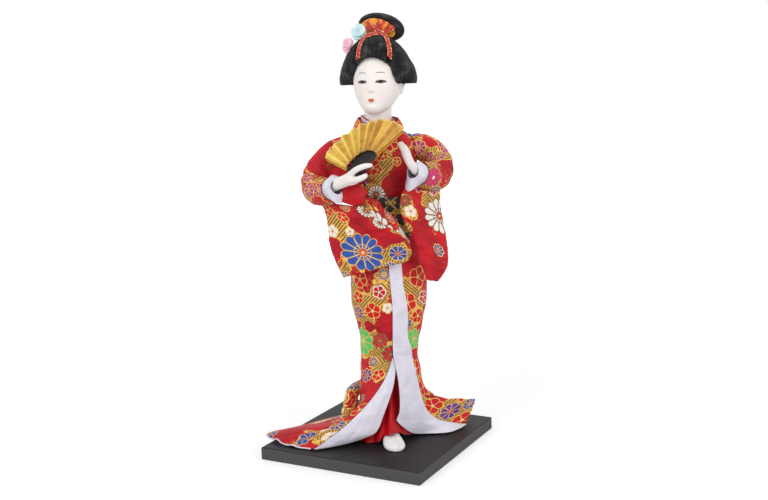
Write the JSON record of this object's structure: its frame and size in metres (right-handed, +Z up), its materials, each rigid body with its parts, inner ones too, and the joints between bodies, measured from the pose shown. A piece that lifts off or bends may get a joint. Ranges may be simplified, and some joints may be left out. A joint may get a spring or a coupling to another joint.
{
  "type": "kimono doll on board",
  "caption": "Standing figure of a woman in a brocade kimono with a spread train, holding an open folding fan, on a square black board; the head turns.",
  "frame": {"origin": "centre of the square board's underside", "axes": "+Z up through the figure; the board's edges run along X and Y; the figure looks toward -Y turned 28 degrees toward +X"},
  "size_m": [0.1256, 0.12, 0.298],
  "materials": {
    "board": "black lacquer, satin top and rougher edge",
    "steel": "drawn wire and rod",
    "brass": "small rivet",
    "foam": "rigid foam",
    "skin": "smooth, lightly glossy, pale",
    "hair": "combed silky fibre, glossy black",
    "hair_cloth": "orange and red cloth with gold thread",
    "ribbon": "red ribbon with gold edge",
    "blue_ribbon": "pale blue satin ribbon",
    "pink_ribbon": "pale pink satin ribbon",
    "tabi": "white cotton",
    "red_satin": "red satin",
    "brocade": "red and gold brocade with coloured flowers",
    "white_satin": "white satin",
    "obi_cloth": "black brocade with gold figures",
    "gold_cord": "gold cord",
    "gold_paper": "gold pleated paper",
    "gold_wood": "gold painted stick",
    "black_wood": "black lacquered stick"
  },
  "bodies": {
    "doll": {"base_board": "board", "support_rod": "steel", "right_arm_wire": "steel", "left_arm_wire": "steel", "fan_rivet": "brass", "body_core": "foam", "right_leg": "foam", "left_leg": "foam", "right_hand": "skin", "left_hand": "skin", "right_foot": "tabi", "left_foot": "tabi", "red_underskirt": "red_satin", "right_sleeve_lining": "red_satin", "collar_piping": "red_satin", "kimono_skirt": "brocade", "right_sleeve": "brocade", "left_sleeve": "brocade", "kimono_bodice": "brocade", "kimono_collar": "brocade", "hem_roll": "brocade", "lining_right_front": "white_satin", "lining_left_front": "white_satin", "under_collar": "white_satin", "right_cuff": "white_satin", "left_cuff": "white_satin", "obi": "obi_cloth", "obi_knot": "obi_cloth", "obi_cord": "gold_cord", "fan_leaf": "gold_paper", "fan_guard_left": "gold_wood", "fan_guard_right": "gold_wood", "fan_rib_01": "black_wood", "fan_rib_02": "black_wood", "fan_rib_03": "black_wood", "fan_rib_04": "black_wood", "fan_rib_05": "black_wood", "fan_rib_06": "black_wood", "fan_rib_07": "black_wood", "fan_rib_08": "black_wood", "fan_rib_09": "black_wood"},
    "head": {"head": "skin", "hair_front_roll": "hair", "hair_right_wing": "hair", "hair_left_wing": "hair", "hair_back": "hair", "topknot": "hair", "topknot_cloth": "hair_cloth", "hair_ribbon_right": "ribbon", "hair_ribbon_left": "ribbon", "blue_rose": "blue_ribbon", "pink_rose": "pink_ribbon"}
  },
  "joints": [
    {"name": "head_turn", "type": "hinge", "parent": "doll", "child": "head", "pos_m": [0.00472, 0.00253, 0.2218], "axis": [0, 0, 1], "range_deg": [-25, 25]}
  ]
}
